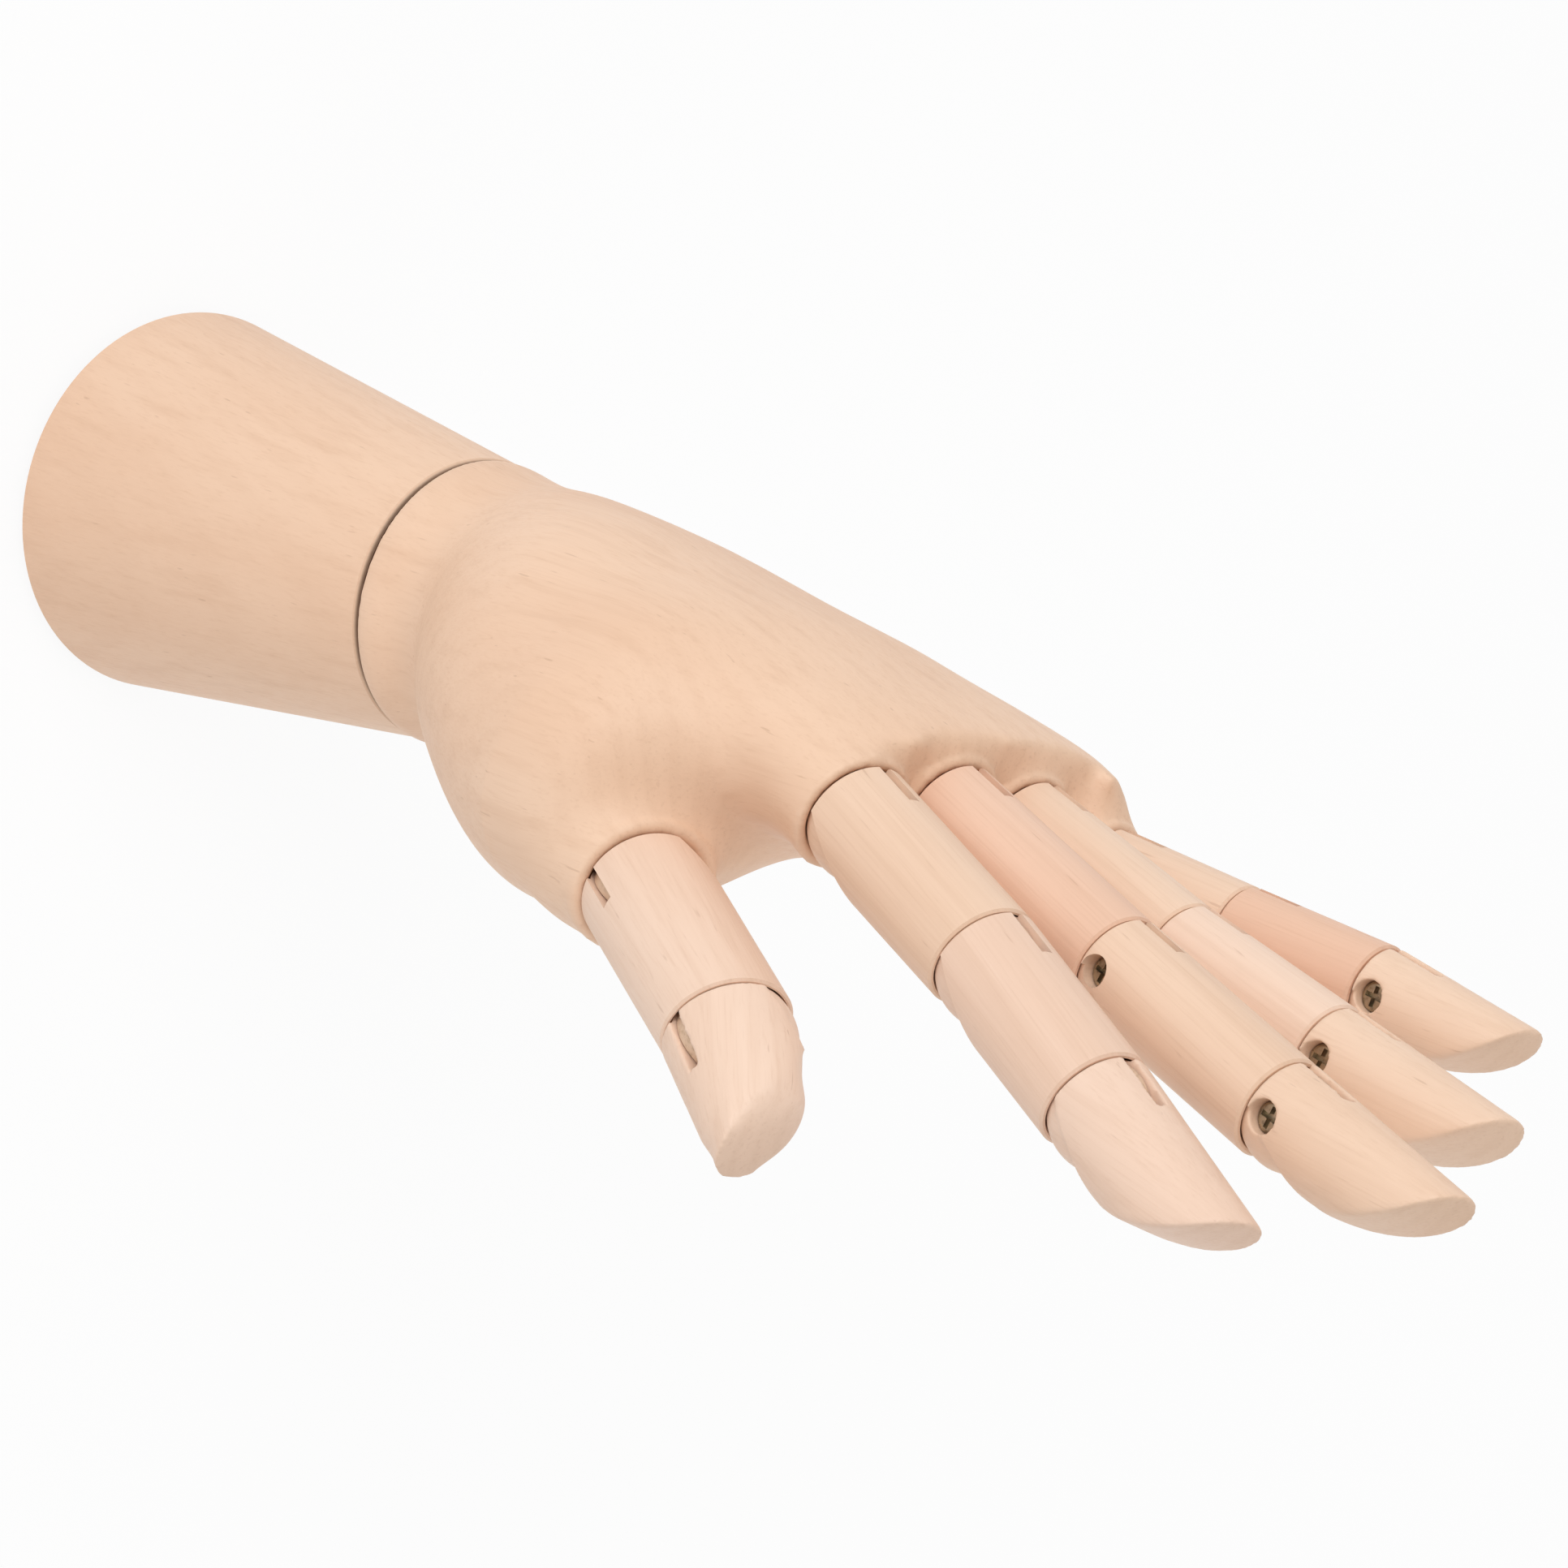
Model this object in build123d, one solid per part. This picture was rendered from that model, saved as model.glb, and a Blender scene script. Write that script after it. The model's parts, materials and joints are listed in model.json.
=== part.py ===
from build123d import *
import os
from math import cos, degrees, exp, hypot, pi, radians, sin, tan

# Wooden hand mannequin, standing on the end of its forearm.
# Millimetres, +Z up along the forearm, origin at the centre of the underside.
# The back of the hand faces -Y and the thumb side faces +X.

# Forearm and stand
BASE_DIAMETER = 68.5
WRIST_DIAMETER = 48.0
WRIST_HEIGHT = 81.3
WRIST_GAP = 0.6
BASE_EDGE = 0.8
FOREARM_EDGE = 0.7
PALM_EDGE = 0.3
FELT_THICKNESS = 1.5
FELT_INSET = 1.6

# Wrist hardware
BOLT_DIAMETER = 6.0
BOLT_RUNNING_GAP = 0.08
BOLT_GRIP = 32.0
WELL_DIAMETER = 24.0
WELL_DEPTH = 26.0
NUT_ACROSS_FLATS = 10.0
NUT_THICKNESS = 5.0
NUT_TO_FELT = 3.5
BOLT_BEYOND_NUT = 1.5
WASHER_DIAMETER = 18.0
WASHER_THICKNESS = 1.6
SPRING_WIRE = 1.4
SPRING_BORE_GAP = 0.7
SPRING_TURNS = 5
SPRING_END_GAP = 0.1

# Finger joints: a ball end turns in a cup, held by a steel tab and a screw
PIVOT_ABOVE_RIM = 3.0
RIM_GAP = 0.25
RIM_EDGE = 0.35
BALL_INSET = 0.35
CUP_GAP = 0.25
RELIEF_ANGLE = 58.0
KERF_WIDTH = 2.0
KERF_SHOWING = 8.5
TAB_THICKNESS = 1.5
TAB_BELOW_SURFACE = 0.9
TAB_WIDTH = 6.4
TAB_ROOT = 12.5
SHANK_DIAMETER = 2.6
SHANK_RUNNING_GAP = 0.05
HEAD_DIAMETER = 4.4
HEAD_HEIGHT = 1.7
HEAD_RECESS = 2.2
HEAD_SIDE_GAP = 0.1
SHANK_END_COVER = 2.4
CROSS_LENGTH = 3.0
CROSS_WIDTH = 0.7
CROSS_DEPTH = 1.0

# Fingers, from the thumb side. Roots are heights above the wrist.
FINGER_GAP = 0.1
INDEX_ROOT_X = 24.9
TIP_TAPER = 0.84
JOINT_TAPER = 0.97
TIP_LIFT = 0.80

# Fingertip pads, as shares of the piece's diameter: how far the flat falls back from the tip,
# how widely its palm side is rounded, then how far it is turned about the piece
FINGER_PAD = dict(fall=0.50, rounding=1.6, turn=-14.0)
THUMB_PAD = dict(fall=0.55, rounding=1.0, turn=25.0)

# diameter, root depth (+Y) and height, bend and lean of the seat, roll of the hinge,
# piece lengths, then how far each later joint is set over, and the side of each screw head
FINGERS = {
    "index": dict(diameter=17.0, depth=10.8, height=114.7, bend=20.3, lean=5.0, roll=7.0,
                  lengths=(34.1, 28.9, 30.2), set_over=((3.7, 0.0), (0.6, 0.0)),
                  screw_sides=(-1, -1, -1), pad=FINGER_PAD),
    "middle": dict(diameter=15.6, depth=5.6, height=117.3, bend=17.4, lean=4.0, roll=6.0,
                   lengths=(40.3, 35.0, 30.9), set_over=((-1.4, 0.0), (-2.2, 0.0)),
                   screw_sides=(-1, 1, 1), pad=FINGER_PAD),
    "ring": dict(diameter=15.6, depth=4.2, height=118.8, bend=14.8, lean=2.5, roll=2.0,
                 lengths=(35.5, 29.4, 30.4), set_over=((-3.3, 0.0), (-1.7, 0.0)),
                 screw_sides=(-1, -1, 1), pad=FINGER_PAD),
    "little": dict(diameter=14.0, depth=6.2, height=125.0, bend=3.2, lean=1.1, roll=8.0,
                   lengths=(25.6, 24.7, 25.6), set_over=((-0.6, 0.0), (4.6, 0.0)),
                   screw_sides=(-1, -1, 1), pad=FINGER_PAD),
}
THUMB = dict(diameter=19.1, x=34.9, depth=30.9, height=91.3, bend=19.8, lean=18.3, roll=90.0,
             lengths=(36.7, 22.8), set_over=((3.3, 12.0),), screw_sides=(1, 1), pad=THUMB_PAD)
JOINT_NAMES = {3: ("base", "middle", "end"), 2: ("base", "end")}
PIECE_NAMES = {3: ("proximal", "middle", "distal"), 2: ("proximal", "distal")}

# Palm: height above the wrist, then the middle and half size of the block in X and Y,
# its squareness and turn, and the thumb mound's height, direction and spread
PALM_STATIONS = (
    (7.0, 0.0, 23.3, 0.0, 23.3, 2.0, 0.0, 0.0, 50.0, 60.0),
    (14.0, 0.2, 22.9, -0.1, 22.6, 2.0, 0.0, 0.8, 50.0, 60.0),
    (22.0, 0.8, 24.6, -0.4, 22.5, 2.1, 0.0, 5.5, 50.0, 58.0),
    (34.0, 1.4, 27.4, -0.8, 21.7, 2.2, 1.0, 12.5, 47.0, 58.0),
    (48.0, 1.9, 29.5, -0.6, 20.7, 2.3, 2.0, 19.6, 46.0, 53.0),
    (62.0, 2.1, 30.6, 0.3, 19.5, 2.3, 3.5, 25.0, 43.0, 46.0),
    (72.0, 2.2, 31.0, 1.1, 18.7, 2.3, 4.5, 26.5, 39.0, 43.0),
    (80.0, 2.2, 31.2, 1.6, 18.1, 2.3, 5.0, 24.5, 36.0, 40.0),
    (88.0, 2.2, 31.4, 1.6, 16.8, 2.3, 6.0, 16.5, 32.0, 33.0),
    (98.0, 2.2, 32.2, 2.2, 14.9, 2.3, 8.5, 2.0, 18.0, 30.0),
    (110.0, 2.3, 32.6, 4.3, 14.0, 2.3, 11.5, 0.0, 22.0, 32.0),
    (121.0, 2.6, 31.4, 5.7, 12.0, 2.3, 12.5, 0.0, 22.0, 32.0),
    (134.0, 2.6, 29.6, 6.6, 10.0, 2.3, 13.0, 0.0, 22.0, 32.0),
)
SECTION_POINTS = 24
SEAT_WALL = 0.9
SEAT_DEPTH = 14.0
SEAT_SWEEP_GAP = 0.7
SEAT_SET_BACK = 1.6
LANE_OVERLAP = 2.0
THUMB_SEAT_WALL = 1.3
THUMB_MOUND_LENGTH = 14.0
THUMB_MOUND_FLARE = 4.5
LANE_REACH = 70.0
NOTCH_RADIUS = 5.0
NOTCH_RISE = 14.5
NOTCH_FORWARD = 8.0


def flat_ring(radius, place=Location()):
    """A filled circle of the given radius at a place."""
    return place * Circle(radius)


def finger_frames(root, finger):
    """Places of a finger's rims: x along the hinge, y to the palm, z along the piece."""
    place = Pos(*root) * Rot(0, finger["lean"], 0) * Rot(-finger["bend"], 0, 0) * Rot(0, 0, finger["roll"])
    places = [place]
    for length, (bend, side) in zip(finger["lengths"], finger["set_over"]):
        place = place * Pos(0, 0, length) * Rot(0, side, 0) * Rot(-bend, 0, 0)
        places.append(place)
    return places


def joint_radii(finger):
    """Radius at each rim of a finger, thinner by the joint taper each time."""
    return [finger["diameter"] / 2 * JOINT_TAPER ** step for step in range(len(finger["lengths"]))]


def ball_radius(radius):
    return radius - BALL_INSET


def cup(radius):
    """The hollow that a ball end turns in, in the joint's own place."""
    hollow = Pos(0, 0, PIVOT_ABOVE_RIM) * Sphere(ball_radius(radius) + CUP_GAP)
    slot_depth = TAB_ROOT + PIVOT_ABOVE_RIM
    slot = Pos(0, 0, PIVOT_ABOVE_RIM - slot_depth / 2) * Box(TAB_THICKNESS, TAB_WIDTH, slot_depth)
    return hollow + slot


def shaft(near_radius, far_radius, far):
    """A round piece from its near rim to a far rim, with both edges eased."""
    start = Pos(0, 0, RIM_GAP)
    rings = [
        flat_ring(near_radius - RIM_EDGE, start),
        flat_ring(near_radius, start * Pos(0, 0, RIM_EDGE)),
        flat_ring(far_radius, far * Pos(0, 0, -RIM_EDGE)),
        flat_ring(far_radius - RIM_EDGE, far),
    ]
    return loft(rings, ruled=True)


def fingertip(radius, length, pad):
    """The end piece: a tapered round whose palm side is cut to a flat and rounded over."""
    start = Pos(0, 0, RIM_GAP)
    body = loft([
        flat_ring(radius - RIM_EDGE, start),
        flat_ring(radius, start * Pos(0, 0, RIM_EDGE)),
        flat_ring(radius * TIP_TAPER, Pos(0, 0, length + RIM_EDGE)),
    ], ruled=True)
    reach = 2 * radius
    corner = (radius, length - 2 * radius * pad["fall"])
    tip = (-TIP_LIFT * radius, length)
    with BuildPart() as keep:
        with BuildSketch(Plane.YZ) as side_view:
            with BuildLine():
                Polyline(tip, (-reach, length), (-reach, -reach), (radius, -reach), corner, tip)
            make_face()
            pad_edge = side_view.vertices().sort_by_distance(corner)[0]
            fillet(pad_edge, 2 * radius * pad["rounding"])
        extrude(amount=reach, both=True)
    return body & Rot(0, 0, pad["turn"]) * keep.part


def knuckle(piece, radius, screw_side):
    """Gives a round piece its ball end, palm side relief, saw kerf and screw hole."""
    reach = 3 * radius
    with BuildPart() as relief:
        with BuildSketch(Plane.YZ):
            with BuildLine():
                rise = RIM_GAP + reach * tan(radians(RELIEF_ANGLE))
                Polyline((0, RIM_GAP), (reach, rise), (reach, -reach), (0, -reach), close=True)
            make_face()
        extrude(amount=reach, both=True)
    ball = Pos(0, 0, PIVOT_ABOVE_RIM) * Sphere(ball_radius(radius))
    kerf_radius = hypot(radius, KERF_SHOWING - PIVOT_ABOVE_RIM)
    kerf = Pos(0, 0, -KERF_WIDTH / 2) * extrude(Circle(kerf_radius), KERF_WIDTH)
    return piece - relief.part + ball - on_hinge(kerf, screw_side) - screw_holes(radius, screw_side)


def on_hinge(solid, screw_side):
    """Lays a solid made along +Z on the hinge line, facing the screw's side."""
    return Pos(0, 0, PIVOT_ABOVE_RIM) * Rot(0, 90 * screw_side, 0) * solid


def head_seat(radius):
    return radius - HEAD_RECESS - HEAD_HEIGHT


def screw_holes(radius, screw_side):
    """A recess for the head and a hole for the shank, which ends inside the far cheek."""
    seat = head_seat(radius)
    recess = Pos(0, 0, seat + radius / 2) * Cylinder(HEAD_DIAMETER / 2 + HEAD_SIDE_GAP, radius)
    low = -(radius - SHANK_END_COVER)
    hole = Pos(0, 0, (seat + low) / 2) * Cylinder(SHANK_DIAMETER / 2, seat - low)
    return on_hinge(recess + hole, screw_side)


def screw(radius, screw_side):
    """A cross-head screw: the hinge pin of its joint."""
    seat = head_seat(radius)
    low = -(radius - SHANK_END_COVER)
    shank = Pos(0, 0, (seat + low) / 2) * Cylinder(SHANK_DIAMETER / 2, seat - low)
    head = Pos(0, 0, seat + HEAD_HEIGHT / 2) * Cylinder(HEAD_DIAMETER / 2, HEAD_HEIGHT)
    head = fillet(head.edges().sort_by(Axis.Z)[-1], HEAD_HEIGHT / 3)
    groove = Pos(0, 0, seat + HEAD_HEIGHT) * Box(CROSS_LENGTH, CROSS_WIDTH, 2 * CROSS_DEPTH)
    cross = groove + Rot(0, 0, 90) * groove
    return on_hinge(shank + head - cross, screw_side)


def tab(radius):
    """A steel strip fixed in the nearer piece, with a round eye that fills most of the kerf."""
    height = TAB_ROOT + PIVOT_ABOVE_RIM
    root_height = PIVOT_ABOVE_RIM - height
    with BuildPart() as strip:
        with BuildSketch(Plane.YZ):
            with Locations((0, root_height + height / 2)):
                Rectangle(TAB_WIDTH, height)
            with Locations((0, PIVOT_ABOVE_RIM)):
                Circle(radius - TAB_BELOW_SURFACE)
                Circle(SHANK_DIAMETER / 2 + SHANK_RUNNING_GAP, mode=Mode.SUBTRACT)
        extrude(amount=TAB_THICKNESS / 2, both=True)
    return strip.part


def finger_pieces(name, places, finger):
    """Every piece of one finger, in place, by name."""
    radii = joint_radii(finger)
    count = len(places)
    pieces = {}
    for step in range(count):
        radius = radii[step]
        place = places[step]
        length = finger["lengths"][step]
        if step + 1 < count:
            far = place.inverse() * places[step + 1]
            body = shaft(radius, radii[step + 1], far) - far * cup(radii[step + 1])
        else:
            body = fingertip(radius, length, finger["pad"])
        side = finger["screw_sides"][step]
        body = knuckle(body, radius, side)
        joint = JOINT_NAMES[count][step]
        pieces[f"{name}_{PIECE_NAMES[count][step]}"] = place * body
        pieces[f"{name}_{joint}_tab"] = place * tab(radius)
        pieces[f"{name}_{joint}_screw"] = place * screw(radius, side)
    return pieces


def finger_roots():
    """Middle of each finger's seat, side by side from the index finger on."""
    roots = {}
    x = INDEX_ROOT_X
    last = None
    for name, finger in FINGERS.items():
        radius = finger["diameter"] / 2
        if last is not None:
            x -= last + radius + FINGER_GAP
        roots[name] = (x, finger["depth"], WRIST_HEIGHT + finger["height"])
        last = radius
    return roots


def palm_section(station):
    """One cross-section of the palm: a rounded block with the thumb mound standing out of it."""
    height, mid_x, half_x, mid_y, half_y, power, turn, mound, mound_angle, spread = station
    points = []
    for step in range(SECTION_POINTS):
        angle = 2 * pi * step / SECTION_POINTS
        block = (abs(cos(angle) / half_x) ** power + abs(sin(angle) / half_y) ** power) ** (-1 / power)
        away = (degrees(angle) + turn - mound_angle + 180) % 360 - 180
        radius = block + mound * exp(-(away / spread) ** 2)
        direction = angle + radians(turn)
        points.append((mid_x + radius * cos(direction), mid_y + radius * sin(direction)))
    outline = Spline(*points, periodic=True)
    return Pos(0, 0, WRIST_HEIGHT + height) * make_face(outline)


def palm_block():
    """The carved block, eased at the wrist, before seats and holes are cut."""
    wrist_radius = WRIST_DIAMETER / 2
    wrist = (WRIST_GAP / 2, 0.0, wrist_radius, 0.0, wrist_radius, 2.0, 0.0, 0.0, 0.0, 1.0)
    block = loft([palm_section(station) for station in (wrist,) + PALM_STATIONS])
    return chamfer(block.edges().sort_by(Axis.Z)[0], PALM_EDGE)


def finger_lanes(frames):
    """Everything beyond the finger seats, with a notch in the back beside the middle one, as one cutter."""
    order = list(FINGERS)
    cutter = None
    for number, name in enumerate(order):
        radius = FINGERS[name]["diameter"] / 2
        near = LANE_REACH if number == 0 else radius + LANE_OVERLAP
        far = LANE_REACH if number == len(order) - 1 else radius + LANE_OVERLAP
        lane = Box(near + far, 2 * LANE_REACH, LANE_REACH)
        lane = frames[name][0] * Pos((near - far) / 2, 0, LANE_REACH / 2 - SEAT_SET_BACK) * lane
        cutter = lane if cutter is None else cutter + lane
    for first, second in zip(order[:2], order[1:3]):
        between = (frames[first][0].position + frames[second][0].position) / 2
        notch = Pos(0, -NOTCH_RISE, NOTCH_FORWARD) * Sphere(NOTCH_RADIUS)
        cutter = cutter + Pos(between) * notch
    return cutter


def seat(place, radius, depth, back_radius):
    """A round stub that carries a finger's cup, eased at its rim."""
    return loft([
        flat_ring(back_radius, place * Pos(0, 0, -depth)),
        flat_ring(radius, place * Pos(0, 0, -RIM_EDGE)),
        flat_ring(radius - RIM_EDGE, place),
    ], ruled=True)


def palm(frames):
    """The palm with a seat and a cup for each finger and a hole for the wrist bolt."""
    body = palm_block() - finger_lanes(frames)
    thumb_radius = THUMB["diameter"] / 2 + THUMB_SEAT_WALL
    mound_radius = thumb_radius + THUMB_MOUND_FLARE
    body = body + seat(frames["thumb"][0], thumb_radius, THUMB_MOUND_LENGTH, mound_radius)
    reach = Pos(0, 0, LANE_REACH / 2)
    holes = frames["thumb"][0] * reach * Cylinder(thumb_radius + SEAT_SWEEP_GAP, LANE_REACH)
    holes = holes + frames["thumb"][0] * cup(THUMB["diameter"] / 2)
    for name, finger in FINGERS.items():
        place = frames[name][0]
        radius = finger["diameter"] / 2
        body = body + seat(place, radius + SEAT_WALL, SEAT_DEPTH, radius + SEAT_WALL)
        holes = holes + place * reach * Cylinder(radius + SEAT_SWEEP_GAP, LANE_REACH) + place * cup(radius)
    low = WRIST_HEIGHT + WRIST_GAP / 2
    holes = holes + Pos(0, 0, low + BOLT_GRIP / 2) * Cylinder(BOLT_DIAMETER / 2, BOLT_GRIP)
    return body - holes


def forearm():
    """The turned cone, with a bore for the wrist bolt and a well for its nut."""
    low = FELT_THICKNESS
    high = WRIST_HEIGHT - WRIST_GAP / 2
    base_radius = BASE_DIAMETER / 2
    wrist_radius = WRIST_DIAMETER / 2
    cone = loft([
        flat_ring(base_radius - BASE_EDGE, Pos(0, 0, low)),
        flat_ring(base_radius, Pos(0, 0, low + BASE_EDGE)),
        flat_ring(wrist_radius, Pos(0, 0, high - FOREARM_EDGE)),
        flat_ring(wrist_radius - FOREARM_EDGE, Pos(0, 0, high)),
    ], ruled=True)
    well = Pos(0, 0, low + WELL_DEPTH / 2) * Cylinder(WELL_DIAMETER / 2, WELL_DEPTH)
    bore = Pos(0, 0, (low + high) / 2) * Cylinder(BOLT_DIAMETER / 2 + BOLT_RUNNING_GAP, high - low)
    return cone - well - bore


def felt_pad():
    radius = BASE_DIAMETER / 2 - FELT_INSET
    return Pos(0, 0, FELT_THICKNESS / 2) * Cylinder(radius, FELT_THICKNESS)


def wrist_hardware():
    """Bolt, nut, spring and washer that draw the palm down on the forearm."""
    well_top = FELT_THICKNESS + WELL_DEPTH
    nut_low = FELT_THICKNESS + NUT_TO_FELT
    nut_high = nut_low + NUT_THICKNESS
    bolt_low = nut_low - BOLT_BEYOND_NUT
    bolt_high = WRIST_HEIGHT + WRIST_GAP / 2 + BOLT_GRIP
    bolt = Pos(0, 0, (bolt_low + bolt_high) / 2) * Cylinder(BOLT_DIAMETER / 2, bolt_high - bolt_low)
    hexagon = RegularPolygon(NUT_ACROSS_FLATS / 2, 6, major_radius=False)
    nut = Pos(0, 0, nut_low) * extrude(hexagon - Circle(BOLT_DIAMETER / 2), NUT_THICKNESS)
    washer_hole = BOLT_DIAMETER / 2 + BOLT_RUNNING_GAP
    washer_flat = Circle(WASHER_DIAMETER / 2) - Circle(washer_hole)
    washer = Pos(0, 0, well_top - WASHER_THICKNESS) * extrude(washer_flat, WASHER_THICKNESS)
    spring_low = nut_high + SPRING_END_GAP + SPRING_WIRE / 2
    spring_high = well_top - WASHER_THICKNESS - SPRING_END_GAP - SPRING_WIRE / 2
    mean_radius = BOLT_DIAMETER / 2 + SPRING_BORE_GAP + SPRING_WIRE / 2
    height = spring_high - spring_low
    path = Pos(0, 0, spring_low) * Helix(height / SPRING_TURNS, height, mean_radius)
    section = Plane(path @ 0, z_dir=path % 0) * Circle(SPRING_WIRE / 2)
    spring = sweep(section, path)
    return {"wrist_bolt": bolt, "wrist_nut": nut, "wrist_washer": washer, "wrist_spring": spring}


def build():
    roots = finger_roots()
    frames = {name: finger_frames(roots[name], finger) for name, finger in FINGERS.items()}
    thumb_root = (THUMB["x"], THUMB["depth"], WRIST_HEIGHT + THUMB["height"])
    frames["thumb"] = finger_frames(thumb_root, THUMB)
    pieces = {"base_felt_pad": felt_pad(), "forearm": forearm(), "palm": palm(frames)}
    pieces.update(wrist_hardware())
    for name, finger in list(FINGERS.items()) + [("thumb", THUMB)]:
        pieces.update(finger_pieces(name, frames[name], finger))
    return pieces


os.makedirs("parts", exist_ok=True)
for node, solid in build().items():
    export_step(solid, f"parts/{node}.step")
    print(node, round(solid.volume, 1))
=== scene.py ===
# %% [markdown]
# # A jointed wooden hand
# The part is a drawing hand: a turned forearm, a carved palm and fourteen round finger pieces.
# The solids come ready made and in place. This lesson sands the carved pieces soft, as a maker
# would, lays a felt pad under the base, and then gives everything its wood, steel or felt.

# %% Load the solids and keep their box
import json
import math

import bpy
from mathutils import Euler, Matrix, Vector


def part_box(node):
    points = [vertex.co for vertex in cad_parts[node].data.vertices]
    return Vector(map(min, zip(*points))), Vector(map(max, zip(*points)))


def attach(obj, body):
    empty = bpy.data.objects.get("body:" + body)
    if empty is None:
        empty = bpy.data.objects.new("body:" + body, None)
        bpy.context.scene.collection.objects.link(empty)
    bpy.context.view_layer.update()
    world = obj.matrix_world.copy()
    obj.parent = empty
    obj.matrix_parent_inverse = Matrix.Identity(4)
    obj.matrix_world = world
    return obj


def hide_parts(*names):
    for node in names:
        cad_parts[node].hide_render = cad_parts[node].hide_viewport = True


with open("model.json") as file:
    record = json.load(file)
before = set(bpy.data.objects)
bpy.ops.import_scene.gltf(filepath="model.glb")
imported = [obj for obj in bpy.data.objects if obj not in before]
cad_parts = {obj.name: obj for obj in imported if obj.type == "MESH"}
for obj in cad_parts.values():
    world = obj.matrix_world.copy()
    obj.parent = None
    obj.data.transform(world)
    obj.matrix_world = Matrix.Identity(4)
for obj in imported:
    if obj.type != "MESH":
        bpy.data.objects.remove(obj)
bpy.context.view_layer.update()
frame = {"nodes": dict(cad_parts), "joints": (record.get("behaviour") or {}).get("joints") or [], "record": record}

bpy.ops.object.select_all(action="DESELECT")
bpy.context.scene.view_settings.view_transform = "Standard"

# %% [markdown]
# ## The camera
# The hand stands on its base here, but the photograph shows it lying across the frame: the camera
# looked at the thumb side from above and was rolled, so that the forearm's axis runs to the right
# and a little down. A camera can be placed by three angles: how far round it stands, how high it
# stands, and how far its picture is turned. The lens is a short telephoto.

# %% Place the camera
CAMERA_PLACE = Vector((0.4177, 0.0072, 0.5257))
CAMERA_AROUND = math.radians(89.58)
CAMERA_ABOVE = math.radians(41.21)
FOREARM_DOWN_IN_PICTURE = math.radians(20.26)
LENS_MM = 84.26
SENSOR_MM = 36.0

ahead = Vector((
    -math.cos(CAMERA_ABOVE) * math.sin(CAMERA_AROUND),
    math.cos(CAMERA_ABOVE) * math.cos(CAMERA_AROUND),
    -math.sin(CAMERA_ABOVE),
))
forearm_in_picture = Vector((0, 0, 1)) - ahead * ahead.z
forearm_in_picture.normalize()
across_forearm = ahead.cross(forearm_in_picture)
picture_right = (
    math.cos(FOREARM_DOWN_IN_PICTURE) * forearm_in_picture
    - math.sin(FOREARM_DOWN_IN_PICTURE) * across_forearm
)
picture_up = picture_right.cross(ahead)

bpy.ops.object.camera_add(location=CAMERA_PLACE)
camera = bpy.context.object
camera.name = "photo_camera"
camera.rotation_euler = Matrix((picture_right, picture_up, -ahead)).transposed().to_euler()
camera.data.lens = LENS_MM
camera.data.sensor_width = SENSOR_MM
camera.data.clip_start = 0.01
camera.data.clip_end = 20.0
bpy.context.scene.camera = camera
print("camera looks along", [round(v, 3) for v in ahead])

# %% [markdown]
# ## Floor and light
# Product photographs of this kind are taken on white with large soft lamps. The floor is a pale
# plane. What the camera sees of it is mostly plain white, with some of its own shade left in, so
# the hand still has a soft shadow. One large lamp stands between the thumb side and the back of the
# hand, weaker ones on the palm side and behind, and the white surroundings fill in the rest.

# %% Floor, surroundings and lamps
FLOOR_SIZE = 6.0
FLOOR_WHITE = (0.93, 0.93, 0.93, 1.0)
FLOOR_SHADE_SEEN = 0.10
AMBIENT = 0.52


def link(tree, source, target):
    tree.links.new(source, target)


def seen_directly(tree):
    """1 where a ray comes from the camera, a mirror-like surface or glass."""
    path = tree.nodes.new("ShaderNodeLightPath")
    first = tree.nodes.new("ShaderNodeMath")
    first.operation = "MAXIMUM"
    link(tree, path.outputs["Is Camera Ray"], first.inputs[0])
    link(tree, path.outputs["Is Glossy Ray"], first.inputs[1])
    second = tree.nodes.new("ShaderNodeMath")
    second.operation = "MAXIMUM"
    link(tree, first.outputs[0], second.inputs[0])
    link(tree, path.outputs["Is Transmission Ray"], second.inputs[1])
    return second.outputs[0]


bpy.ops.mesh.primitive_plane_add(size=FLOOR_SIZE)
floor = bpy.context.object
floor.name = "floor"
floor_paint = bpy.data.materials.new("floor_white")
floor_paint.use_nodes = True
tree = floor_paint.node_tree
tree.nodes.clear()
matt = tree.nodes.new("ShaderNodeBsdfDiffuse")
matt.inputs["Color"].default_value = FLOOR_WHITE
glow = tree.nodes.new("ShaderNodeEmission")
seen_floor = tree.nodes.new("ShaderNodeMixShader")
seen_floor.inputs[0].default_value = FLOOR_SHADE_SEEN
link(tree, glow.outputs[0], seen_floor.inputs[1])
link(tree, matt.outputs[0], seen_floor.inputs[2])
either = tree.nodes.new("ShaderNodeMixShader")
link(tree, seen_directly(tree), either.inputs[0])
link(tree, matt.outputs[0], either.inputs[1])
link(tree, seen_floor.outputs[0], either.inputs[2])
output = tree.nodes.new("ShaderNodeOutputMaterial")
link(tree, either.outputs[0], output.inputs["Surface"])
floor.data.materials.append(floor_paint)

world = bpy.data.worlds.new("white_room")
bpy.context.scene.world = world
world.use_nodes = True
tree = world.node_tree
sky = tree.nodes["Background"]
strength = tree.nodes.new("ShaderNodeMapRange")
strength.inputs["To Min"].default_value = AMBIENT
strength.inputs["To Max"].default_value = 1.0
link(tree, seen_directly(tree), strength.inputs["Value"])
link(tree, strength.outputs["Result"], sky.inputs["Strength"])
sky.inputs["Color"].default_value = (1.0, 1.0, 1.0, 1.0)


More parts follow.
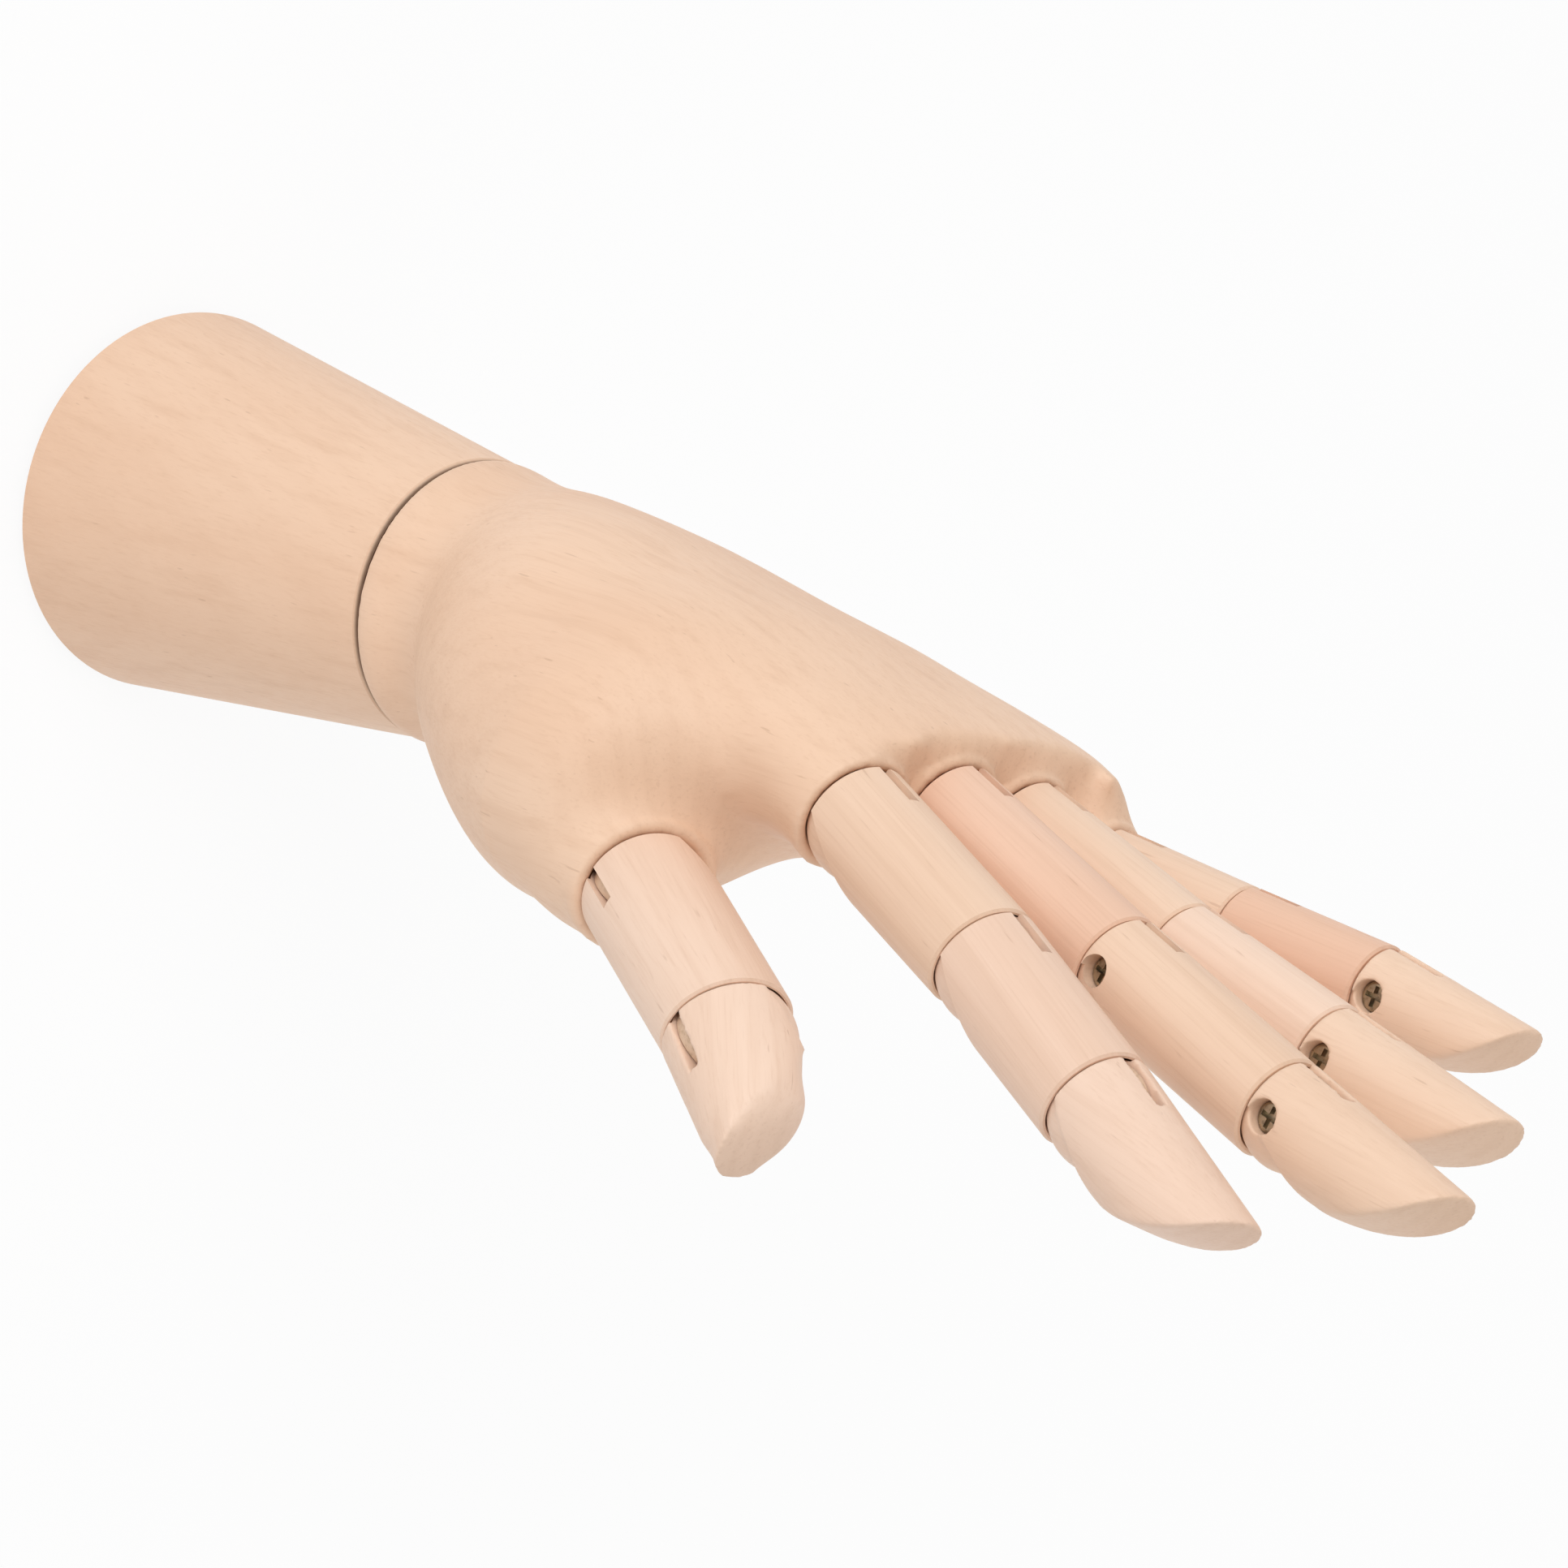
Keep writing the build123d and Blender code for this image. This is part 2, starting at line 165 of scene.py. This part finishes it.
def soft_lamp(name, place, aim, size, power):
    """A square lamp that faces a point."""
    bpy.ops.object.light_add(type="AREA", location=place)
    lamp = bpy.context.object
    lamp.name = name
    lamp.data.size = size
    lamp.data.energy = power
    lamp.rotation_euler = (Vector(aim) - Vector(place)).to_track_quat("-Z", "Y").to_euler()
    return lamp


HAND_MIDDLE = (0.0, 0.0, 0.17)
# For each lamp: its place and its size in metres, and its power in watts.
LAMPS = {
    "key_lamp": ((1.05, -0.75, 0.85), 1.1, 11.5),
    "palm_lamp": ((0.3, 1.3, 0.9), 1.2, 4.0),
    "far_lamp": ((-1.2, 0.2, 0.9), 1.0, 3.0),
}
for name, (place, size, power) in LAMPS.items():
    soft_lamp(name, place, HAND_MIDDLE, size, power)

# %% [markdown]
# ## Sanding by hand
# The maker carves each fingertip with one flat cut and sands its edge over, and rubs the hollow
# where the thumb's seat grows out of the palm until no crease is left. A bevel needs clean edges
# to follow, and here the edges fade out into round sides. So the piece is copied, merged, cut into
# small even cells by a voxel remesh, and then smoothed where sandpaper would reach. Smoothing
# moves each chosen point towards its neighbours, and more passes round an edge more widely. A
# fuller spot is pushed out with proportional editing, which drags the neighbours along softly.

# %% Helpers: where a point lies on a finger, a remeshed copy, and sandpaper
MERGE_WITHIN = 1e-6
SANDING_FACTOR = 0.5
FIRST_PASSES = 2
pivot_of = {joint["child"]: Vector(joint["pos_m"]) for joint in frame["joints"]}


def finger_axis(node):
    """The direction a finger piece points in: from its pivot to its middle."""
    low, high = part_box(node)
    return ((low + high) / 2 - pivot_of[node]).normalized()


def along_and_away(point, pivot, axis):
    """How far a point lies beyond a pivot, and how far from the finger's axis."""
    step = point - pivot
    along = step.dot(axis)
    return along, (step - axis * along).length


def only(piece):
    """Makes a piece the one that the operators act on."""
    bpy.ops.object.select_all(action="DESELECT")
    bpy.context.view_layer.objects.active = piece
    piece.select_set(True)


def even_copy(node, name, cell):
    """A merged copy of a node, remeshed in small even cells."""
    piece = bpy.data.objects.new(name, frame["nodes"][node].data.copy())
    bpy.context.scene.collection.objects.link(piece)
    only(piece)
    bpy.ops.object.mode_set(mode="EDIT")
    bpy.ops.mesh.select_all(action="SELECT")
    bpy.ops.mesh.remove_doubles(threshold=MERGE_WITHIN)
    bpy.ops.object.mode_set(mode="OBJECT")
    remesh = piece.modifiers.new("cells", "REMESH")
    remesh.mode = "VOXEL"
    remesh.voxel_size = cell
    bpy.ops.object.modifier_apply(modifier="cells")
    bpy.ops.object.shade_smooth()
    return piece


def choose_points(piece, reached):
    """Goes into edit mode with the points chosen for which reached(point) is true."""
    only(piece)
    bpy.ops.object.mode_set(mode="EDIT")
    bpy.ops.mesh.select_mode(type="VERT")
    bpy.ops.mesh.select_all(action="DESELECT")
    bpy.ops.object.mode_set(mode="OBJECT")
    chosen = [reached(v.co) for v in piece.data.vertices]
    piece.data.vertices.foreach_set("select", chosen)
    bpy.ops.object.mode_set(mode="EDIT")
    return sum(chosen)


def sand(piece, passes, reached=lambda point: True):
    """Smooths the points for which reached(point) is true, or all of them."""
    chosen = choose_points(piece, reached)
    bpy.ops.mesh.vertices_smooth(factor=SANDING_FACTOR, repeat=passes)
    bpy.ops.object.mode_set(mode="OBJECT")
    return chosen


def swell(piece, centre, near, push, spread):
    """Pushes out the points near a centre. Their neighbours follow, less and less."""
    choose_points(piece, lambda point: (point - centre).length < near)
    bpy.ops.transform.translate(
        value=push, use_proportional_edit=True, proportional_edit_falloff="SMOOTH", proportional_size=spread
    )
    bpy.ops.object.mode_set(mode="OBJECT")


def stands_for(piece, node, body):
    """Lets a piece move with a body and take a node's place."""
    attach(piece, body)
    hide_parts(node)


print("joints to measure from:", len(pivot_of))

# %% [markdown]
# ## Fingertips
# Each fingertip is a round peg with one slanting flat on its palm side, like a nail turned upside
# down. The flat's edge is eased a little. The thumb's pad, towards the index finger, is fuller than
# a flat: it is pushed out by a few millimetres and then rubbed round. The joint end keeps its crisp
# saw slot and screw hole, so the sanding of the tips starts beyond them.

# %% Sand the five fingertips
TIP_CELL = 0.00032
SANDING_STARTS = 0.0085
TIP_PASSES = 14
THUMB_PAD_PASSES = 150
PAD_REACHES_BACK = 0.005
PAD_FROM_AXIS = 0.001
PAD_BEFORE_END = 0.0055
PAD_OUT = 0.0042
PAD_CORE = 0.0033
PAD_PUSH = 0.0036
PAD_SPREAD = 0.0066
dressed = {}


def beyond_the_joint(node):
    """A test for points of a fingertip past its saw slot and screw hole."""
    pivot = pivot_of[node]
    axis = finger_axis(node)
    return lambda point: (point - pivot).dot(axis) > SANDING_STARTS


def round_the_thumb(tip):
    """Fills out the pad of the thumb, on the side that faces the index finger, and sands it."""
    pivot = pivot_of["thumb_distal"]
    axis = finger_axis("thumb_distal")
    to_index = pivot_of["index_distal"] - pivot
    to_index = (to_index - axis * to_index.dot(axis)).normalized()
    end = max((v.co - pivot).dot(axis) for v in tip.data.vertices)
    pad = pivot + axis * (end - PAD_BEFORE_END) + to_index * PAD_OUT
    swell(tip, pad, PAD_CORE, to_index * PAD_PUSH, PAD_SPREAD)
    start = SANDING_STARTS - PAD_REACHES_BACK
    sand(tip, THUMB_PAD_PASSES, lambda point: (
        (point - pivot).dot(axis) > start and (point - pivot).dot(to_index) > PAD_FROM_AXIS
    ))


for finger in ("index", "middle", "ring", "little", "thumb"):
    node = f"{finger}_distal"
    tip = even_copy(node, f"{finger}_fingertip", TIP_CELL)
    sand(tip, FIRST_PASSES)
    reached = sand(tip, TIP_PASSES, beyond_the_joint(node))
    if finger == "thumb":
        round_the_thumb(tip)
    stands_for(tip, node, node)
    dressed[node] = tip
    print(tip.name, "sanded points:", reached, "of", len(tip.data.vertices))

# %% [markdown]
# ## The carved palm
# The palm is one block. Its seats for the fingers are short round stubs, and the solid joins them
# to the block with a hard line. On the real hand the thumb's stub flows into the ball of the thumb,
# the little finger's stub flows into the edge of the hand, and the cut end of the palm has rounded
# edges. The thin lip at each rim stays as it is, because the finger turns against it.

# %% Sand the palm
PALM_CELL = 0.00062
RIM_BELOW_PIVOT = 0.003
LIP_KEPT = 0.0013
THUMB_BLEND_LENGTH = 0.021
THUMB_BLEND_WIDTH = 0.017
LITTLE_BLEND_LENGTH = 0.021
LITTLE_BLEND_WIDTH = 0.0065
SEAT_BLEND_LENGTH = 0.010
SEAT_BLEND_WIDTH = 0.0045
END_STARTS = 0.186
END_CLEAR_OF_RIMS = 0.0019
THUMB_BLEND_PASSES = 160
LITTLE_BLEND_PASSES = 130
SEAT_PASSES = 40
END_PASSES = 14
SEATS = ("index_proximal", "middle_proximal", "ring_proximal", "little_proximal")


def seat_radius(node):
    """How far the first piece of a finger reaches from its axis."""
    pivot = pivot_of[node]
    axis = finger_axis(node)
    return max(along_and_away(v.co, pivot, axis)[1] for v in frame["nodes"][node].data.vertices)


def around_stub(node, length, width):
    """A test for the wood around a finger's stub, but not its lip or its cup."""
    pivot = pivot_of[node]
    axis = finger_axis(node)
    inner = seat_radius(node)

    def reached(point):
        along, away = along_and_away(point, pivot, axis)
        return -length < along < -RIM_BELOW_PIVOT - LIP_KEPT and inner < away < inner + width

    return reached


def near_finger_seat(point):
    """The outside of a finger's stub, below its lip."""
    return any(reached(point) for reached in stubs)


def on_cut_end(point):
    """The end of the palm beyond the thumb, clear of the finger rims."""
    if point.z < END_STARTS:
        return False
    for pivot, axis, round_size in seats:
        if along_and_away(point, pivot, axis)[1] < round_size + END_CLEAR_OF_RIMS:
            return False
    return True


seats = [(pivot_of[node], finger_axis(node), seat_radius(node)) for node in SEATS]
stubs = [around_stub(node, SEAT_BLEND_LENGTH, SEAT_BLEND_WIDTH) for node in SEATS]
by_thumb = around_stub("thumb_proximal", THUMB_BLEND_LENGTH, THUMB_BLEND_WIDTH)
by_little = around_stub("little_proximal", LITTLE_BLEND_LENGTH, LITTLE_BLEND_WIDTH)
palm = even_copy("palm", "carved_palm", PALM_CELL)
sand(palm, FIRST_PASSES)
blended = sand(palm, THUMB_BLEND_PASSES, by_thumb) + sand(palm, LITTLE_BLEND_PASSES, by_little)
eased = sand(palm, SEAT_PASSES, near_finger_seat)
rounded = sand(palm, END_PASSES, on_cut_end)
stands_for(palm, "palm", "palm")
dressed["palm"] = palm
print("palm points:", len(palm.data.vertices), "blended:", blended, "eased:", eased, "rounded:", rounded)

# %% [markdown]
# ## Wood
# The hand is turned and carved from a pale, fine, straight-grained hardwood. Three things show on
# the real pieces: fine fibres, hair-thin streaks a centimetre or two long; broad soft clouds of
# paler and pinker wood; and a few short darker flecks. Growth rings show only faintly, as arcs on a
# cut end. An image of wood would stretch and repeat, so the grain is worked out in space instead.
# Each piece gets a copy of the same recipe, turned so that the fibres run along that piece, and set
# off so that no two match. Where a face cuts across the fibres it shows end grain, a little darker.

# %% The wood recipe
WOOD_PALE = (0.860, 0.635, 0.480, 1.0)
WOOD_MID = (0.815, 0.575, 0.420, 1.0)
WOOD_DARK = (0.690, 0.450, 0.305, 1.0)
WOOD_FLECK = (0.520, 0.310, 0.195, 1.0)
END_GRAIN_PALE = (0.750, 0.525, 0.375, 1.0)
END_GRAIN_DARK = (0.640, 0.425, 0.285, 1.0)
# Painted shade: the dark brown of the thin line along the wrist's gap, and how far from the gap it starts to fade
# and is gone.
PAINTED_WRIST_SHADE = (0.150, 0.080, 0.045, 1.0)
WRIST_SHADE_STARTS = 0.0004
WRIST_SHADE_FADES = 0.0009
RING_SCALE = 105.0
RING_CENTRE = Vector((0.021, 0.013, 0.0))
FIBRE_SCALE = 2600.0
STREAK_SCALE = 420.0
CLOUD_SCALE = 38.0
FLECK_SCALE = 1500.0
ALONG_FIBRE = 0.022
ALONG_STREAK = 0.035
ALONG_CLOUD = 0.25
ALONG_FLECK = 0.10
# Each row below: the part of a pattern that shows, from and to, and how much of it, least and most.
CLOUDS_SHOW = (0.30, 0.70, 0.0, 1.0)
RINGS_SHOW = (0.5, 1.0, 0.0, 0.07)
STREAKS_SHOW = (0.46, 0.78, 0.0, 0.30)
DARK_FIBRES_SHOW = (0.50, 0.80, 0.0, 0.34)
PALE_FIBRES_SHOW = (0.48, 0.22, 0.0, 0.30)
FLECKS_SHOW = (0.73, 0.82, 0.0, 0.35)
END_RINGS_SHOW = (0.3, 1.0, 0.0, 0.22)
END_CLOUDS_SHOW = (0.35, 0.65, 0.0, 0.45)
END_PORES_SHOW = (0.52, 0.74, 0.0, 0.30)
END_GRAIN_MOST = 0.75
END_GRAIN_SHOWS = (0.34, 0.97, 0.0, END_GRAIN_MOST)
WRIST_SHADE_SHOWS = (WRIST_SHADE_FADES, WRIST_SHADE_STARTS, 0.0, 0.92)
FIBRE_ROUGHNESS = (0.3, 0.7, 0.44, 0.58)
END_ROUGHER = (0.0, END_GRAIN_MOST, 0.0, 0.16)
WOOD_SPECULAR = 0.32
GRAIN_STRENGTH = 0.22
GRAIN_DEPTH = 0.00012


def texture_space(tree, coordinate, turn, offset, along):
    """Coordinates turned so that Z runs with the fibres, and drawn out along them."""
    turned = tree.nodes.new("ShaderNodeMapping")
    turned.inputs["Rotation"].default_value = turn
    turned.inputs["Location"].default_value = offset
    link(tree, coordinate, turned.inputs["Vector"])
    drawn = tree.nodes.new("ShaderNodeMapping")
    drawn.inputs["Scale"].default_value = (1.0, 1.0, along)
    link(tree, turned.outputs["Vector"], drawn.inputs["Vector"])
    return drawn.outputs["Vector"]


def noise(tree, vector, scale, detail=2.0, rough=0.5, distortion=0.0):
    node = tree.nodes.new("ShaderNodeTexNoise")
    node.inputs["Scale"].default_value = scale
    node.inputs["Detail"].default_value = detail
    node.inputs["Roughness"].default_value = rough
    node.inputs["Distortion"].default_value = distortion
    link(tree, vector, node.inputs["Vector"])
    return node.outputs["Fac"]


def remap(tree, value, low, high, to_low, to_high):
    """Stretches a value's range from low..high to to_low..to_high."""
    node = tree.nodes.new("ShaderNodeMapRange")
    node.interpolation_type = "SMOOTHSTEP"
    node.inputs["From Min"].default_value = low
    node.inputs["From Max"].default_value = high
    node.inputs["To Min"].default_value = to_low
    node.inputs["To Max"].default_value = to_high
    link(tree, value, node.inputs["Value"])
    return node.outputs["Result"]


def arithmetic(tree, operation, first, second):
    """One sum on two values, each a socket or a number."""
    node = tree.nodes.new("ShaderNodeMath")
    node.operation = operation
    for socket, value in zip(node.inputs, (first, second)):
        if isinstance(value, (int, float)):
            socket.default_value = value
        else:
            link(tree, value, socket)
    return node.outputs[0]


def mix_colour(tree, amount, first, second, blend="MIX"):
    """Mixes two colours, each a socket or a colour, by an amount."""
    node = tree.nodes.new("ShaderNodeMix")
    node.data_type = "RGBA"
    node.blend_type = blend
    for socket, value in zip((node.inputs[0], node.inputs[6], node.inputs[7]), (amount, first, second)):
        if isinstance(value, (int, float, tuple)):
            socket.default_value = value
        else:
            link(tree, value, socket)
    return node.outputs[2]


def make_wood(name, fibre, middle, offset, tint, shade_height=None):
    """A wood material: fibre is the grain's direction, middle a point on the piece's axis, and
    the last argument the height of the wrist's gap, along which a thin line of shade is painted dark brown."""
    material = bpy.data.materials.new(name)
    material.use_nodes = True
    tree = material.node_tree
    shader = tree.nodes["Principled BSDF"]
    place = tree.nodes.new("ShaderNodeTexCoord")
    turn = fibre.rotation_difference(Vector((0, 0, 1))).to_euler()
    centred = -(turn.to_matrix() @ middle)

    object_place = place.outputs["Object"]
    ring_space = texture_space(tree, object_place, turn, centred + RING_CENTRE, ALONG_STREAK)
    rings = tree.nodes.new("ShaderNodeTexWave")
    rings.wave_type = "RINGS"
    rings.rings_direction = "Z"
    rings.inputs["Scale"].default_value = RING_SCALE
    rings.inputs["Distortion"].default_value = 2.0
    rings.inputs["Detail"].default_value = 2.0
    rings.inputs["Detail Scale"].default_value = 0.35
    link(tree, ring_space, rings.inputs["Vector"])

    fibre_space = texture_space(tree, object_place, turn, centred + offset, ALONG_FIBRE)
    streak_space = texture_space(tree, object_place, turn, centred + offset, ALONG_STREAK)
    cloud_space = texture_space(tree, object_place, turn, centred + offset, ALONG_CLOUD)
    fleck_space = texture_space(tree, object_place, turn, centred + offset, ALONG_FLECK)
    fibres = noise(tree, fibre_space, FIBRE_SCALE, 3.0, 0.6)
    streaks = noise(tree, streak_space, STREAK_SCALE, 3.0, 0.55, 0.2)
    clouds = noise(tree, cloud_space, CLOUD_SCALE, 2.0, 0.5)
    flecks = noise(tree, fleck_space, FLECK_SCALE, 1.0, 0.4)

    side = mix_colour(tree, remap(tree, clouds, *CLOUDS_SHOW), WOOD_MID, WOOD_PALE)
    side = mix_colour(tree, remap(tree, rings.outputs["Fac"], *RINGS_SHOW), side, WOOD_DARK)
    side = mix_colour(tree, remap(tree, streaks, *STREAKS_SHOW), side, WOOD_DARK)
    side = mix_colour(tree, remap(tree, fibres, *DARK_FIBRES_SHOW), side, WOOD_DARK)
    side = mix_colour(tree, remap(tree, fibres, *PALE_FIBRES_SHOW), side, WOOD_PALE)
    side = mix_colour(tree, remap(tree, flecks, *FLECKS_SHOW), side, WOOD_FLECK)

    pores = noise(tree, texture_space(tree, object_place, turn, offset, 1.0), FLECK_SCALE, 2.0, 0.6)
    ring_share = remap(tree, rings.outputs["Fac"], *END_RINGS_SHOW)
    end = mix_colour(tree, ring_share, END_GRAIN_PALE, END_GRAIN_DARK)
    end = mix_colour(tree, remap(tree, clouds, *END_CLOUDS_SHOW), end, WOOD_PALE)
    end = mix_colour(tree, remap(tree, pores, *END_PORES_SHOW), end, WOOD_FLECK)

    facing = tree.nodes.new("ShaderNodeVectorMath")
    facing.operation = "DOT_PRODUCT"
    facing.inputs[1].default_value = fibre
    link(tree, place.outputs["Normal"], facing.inputs[0])
    across = arithmetic(tree, "ABSOLUTE", facing.outputs["Value"], 0.0)
    end_share = remap(tree, across, *END_GRAIN_SHOWS)
    grain = mix_colour(tree, end_share, side, end)
    # Painted shade: near the wrist's height the wood is darkened to a thin brown line, standing in for the shade
    # in the gap between palm and forearm.
    if shade_height is not None:
        parts = tree.nodes.new("ShaderNodeSeparateXYZ")
        link(tree, object_place, parts.inputs[0])
        height = arithmetic(tree, "SUBTRACT", parts.outputs["Z"], shade_height)
        wrist_shade_share = remap(tree, arithmetic(tree, "ABSOLUTE", height, 0.0), *WRIST_SHADE_SHOWS)
        grain = mix_colour(tree, wrist_shade_share, grain, PAINTED_WRIST_SHADE)
    grain = mix_colour(tree, 1.0, grain, tint, "MULTIPLY")
    link(tree, grain, shader.inputs["Base Color"])

    fibre_gloss = remap(tree, fibres, *FIBRE_ROUGHNESS)
    rough = arithmetic(tree, "ADD", fibre_gloss, remap(tree, end_share, *END_ROUGHER))
    link(tree, rough, shader.inputs["Roughness"])
    shader.inputs["Specular IOR Level"].default_value = WOOD_SPECULAR

    relief = arithmetic(tree, "ADD", fibres, arithmetic(tree, "MULTIPLY", pores, end_share))
    bump = tree.nodes.new("ShaderNodeBump")
    bump.inputs["Strength"].default_value = GRAIN_STRENGTH
    bump.inputs["Distance"].default_value = GRAIN_DEPTH
    link(tree, relief, bump.inputs["Height"])
    link(tree, bump.outputs["Normal"], shader.inputs["Normal"])
    return material


# %% [markdown]
# ## A wood for each piece
# The maker cuts the finger pieces from different sticks, so some come out pinker and some paler.
# The direction of a piece's fibres is found from the model: from the pivot of its own joint to the
# middle of the piece. The palm and the forearm have their fibres upright. Along the wrist, where
# these two meet across a narrow gap, a thin dark line of shade is painted into the wood.

# %% Give every wooden piece its own wood
PLAIN = (1.00, 1.00, 1.00, 1.0)
PINK = (1.01, 1.02, 1.07, 1.0)
ROSY = (0.99, 0.91, 0.90, 1.0)
PALE = (1.03, 1.05, 1.10, 1.0)
HONEY = (1.00, 0.955, 0.915, 1.0)
TINTS = {
    "forearm": HONEY, "palm": HONEY, "middle_proximal": ROSY, "little_middle": ROSY,
    "index_middle": PINK, "index_distal": PINK,
    "thumb_proximal": PALE, "thumb_distal": PALE, "ring_middle": PALE,
}
UPRIGHT = Vector((0, 0, 1))
wooden = [entry["node"] for entry in frame["record"]["subparts"] if entry["material_slot"] == "wood"]


def paint(piece, material):
    """Shows a piece in one material."""
    piece.data.materials.clear()
    piece.data.materials.append(material)


wrist_height = pivot_of["palm"].z
for number, node in enumerate(sorted(wooden)):
    corner_low, corner_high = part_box(node)
    middle = (corner_low + corner_high) / 2
    is_finger = node not in ("forearm", "palm")
    fibre = finger_axis(node) if is_finger else UPRIGHT
    # The palm and the forearm get the painted line of shade at the wrist's height.
    shade_height = None if is_finger else wrist_height
    offset = Vector((0.31, 0.17, 0.53)) * (number + 1)
    wood = make_wood(f"wood_{node}", fibre, middle, offset, TINTS.get(node, PLAIN), shade_height)
    paint(frame["nodes"][node], wood)
    if node in dressed:
        paint(dressed[node], wood)
print("wooden pieces:", len(wooden), "of which sanded:", len(dressed))

# %% [markdown]
# ## Steel
# The joint screws sit in deep round holes and only their heads catch light: metal turned on a lathe
# and tarnished. The strips in the saw slots have browned with age. Fine scratches and a clouded
# roughness keep both from looking like chrome.

# %% Steel for screws, strips and wrist hardware
# For each steel: its bright and its tarnished colour, its roughness, and how metallic it looks.
STEELS = {
    "screw_steel": ((0.46, 0.40, 0.30, 1.0), (0.12, 0.09, 0.06, 1.0), 0.32, 1.0),
    "spring_steel": ((0.72, 0.52, 0.37, 1.0), (0.50, 0.34, 0.22, 1.0), 0.55, 0.35),
    "zinc_steel": ((0.66, 0.67, 0.69, 1.0), (0.42, 0.43, 0.45, 1.0), 0.33, 1.0),
}


def make_steel(name, bright, tarnish, roughness, metal):
    """Clouded metal with fine scratches, less metallic where a brown skin covers it."""
    material = bpy.data.materials.new(name)
    material.use_nodes = True
    tree = material.node_tree
    shader = tree.nodes["Principled BSDF"]
    shader.inputs["Metallic"].default_value = metal
    place = tree.nodes.new("ShaderNodeTexCoord").outputs["Object"]
    clouds = noise(tree, place, 900.0, 4.0, 0.6)
    scratches = noise(tree, texture_space(tree, place, Euler(), Vector(), 0.03), 6000.0, 2.0, 0.5)
    colour = mix_colour(tree, remap(tree, clouds, 0.45, 0.75, 0.0, 0.8), bright, tarnish)
    link(tree, colour, shader.inputs["Base Color"])
    rough = remap(tree, clouds, 0.3, 0.7, roughness - 0.06, roughness + 0.16)
    link(tree, rough, shader.inputs["Roughness"])
    bump = tree.nodes.new("ShaderNodeBump")
    bump.inputs["Strength"].default_value = 0.12
    bump.inputs["Distance"].default_value = 0.00003
    link(tree, scratches, bump.inputs["Height"])
    link(tree, bump.outputs["Normal"], shader.inputs["Normal"])
    return material


steel = {slot: make_steel(slot, *look) for slot, look in STEELS.items()}
for entry in frame["record"]["subparts"]:
    if entry["material_slot"] in steel:
        paint(frame["nodes"][entry["node"]], steel[entry["material_slot"]])
print("steel finishes:", sorted(steel))

# %% [markdown]
# ## The felt pad
# A disc of dark pressed felt under the base keeps it from scratching a table. Punched felt has soft
# edges that spread a little. A disc is added at the pad's size, its two rims are bevelled round, and
# the flat faces are inset so that the bevel's shading stays at the edge. Felt has no weave: it is a
# mat of fibres, so its colour is mottled and its surface fuzzy, with a soft sheen.

# %% Model the felt pad
FELT_EDGE = 0.0005
FELT_DARK = (0.018, 0.018, 0.020, 1.0)
FELT_LIGHT = (0.075, 0.073, 0.075, 1.0)
pad_low, pad_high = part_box("base_felt_pad")
pad_thickness = pad_high.z - pad_low.z
pad_radius = (pad_high.x - pad_low.x) / 2
bpy.ops.object.select_all(action="DESELECT")
bpy.ops.mesh.primitive_cylinder_add(
    vertices=128, radius=pad_radius, depth=pad_thickness, location=(pad_low + pad_high) / 2
)
pad = bpy.context.object
pad.name = "felt_pad"
bpy.ops.object.transform_apply(location=True, rotation=False, scale=False)
bpy.ops.object.mode_set(mode="EDIT")
bpy.ops.mesh.select_mode(type="FACE")
bpy.ops.mesh.select_all(action="DESELECT")
bpy.ops.object.mode_set(mode="OBJECT")
for face in pad.data.polygons:
    face.select = abs(face.normal.z) > 0.9
bpy.ops.object.mode_set(mode="EDIT")
bpy.ops.mesh.region_to_loop()
bpy.ops.mesh.bevel(offset=FELT_EDGE, segments=4, affect="EDGES")
bpy.ops.mesh.select_mode(type="FACE")
bpy.ops.mesh.select_all(action="DESELECT")
bpy.ops.object.mode_set(mode="OBJECT")
for face in pad.data.polygons:
    face.select = abs(face.normal.z) > 0.999
bpy.ops.object.mode_set(mode="EDIT")
bpy.ops.mesh.inset(thickness=FELT_EDGE)
bpy.ops.object.mode_set(mode="OBJECT")
bpy.ops.object.shade_smooth_by_angle(angle=math.radians(40))
stands_for(pad, "base_felt_pad", "forearm")
print("felt pad:", round(pad_radius * 2000, 1), "mm across,", round(pad_thickness * 1000, 2), "mm thick")

# %% Felt for the pad
FELT_FIBRES_SHOW = (0.35, 0.75, 0.0, 1.0)
FELT_MOTTLE_SHOWS = (0.4, 0.7, 0.0, 0.35)
FELT_ROUGHNESS = (0.3, 0.7, 0.88, 0.98)
felt = bpy.data.materials.new("dark_felt")
felt.use_nodes = True
tree = felt.node_tree
shader = tree.nodes["Principled BSDF"]
place = tree.nodes.new("ShaderNodeTexCoord").outputs["Object"]
mat_of_fibres = noise(tree, place, 2200.0, 5.0, 0.75, 1.5)
mottle = noise(tree, place, 160.0, 2.0, 0.5)
mixed = mix_colour(tree, remap(tree, mat_of_fibres, *FELT_FIBRES_SHOW), FELT_DARK, FELT_LIGHT)
mixed = mix_colour(tree, remap(tree, mottle, *FELT_MOTTLE_SHOWS), mixed, FELT_LIGHT)
link(tree, mixed, shader.inputs["Base Color"])
link(tree, remap(tree, mottle, *FELT_ROUGHNESS), shader.inputs["Roughness"])
shader.inputs["Sheen Weight"].default_value = 0.35
shader.inputs["Sheen Roughness"].default_value = 0.5
bump = tree.nodes.new("ShaderNodeBump")
bump.inputs["Strength"].default_value = 0.6
bump.inputs["Distance"].default_value = 0.0003
link(tree, mat_of_fibres, bump.inputs["Height"])
link(tree, bump.outputs["Normal"], shader.inputs["Normal"])
paint(pad, felt)
paint(frame["nodes"]["base_felt_pad"], felt)
print("felt on", pad.name)
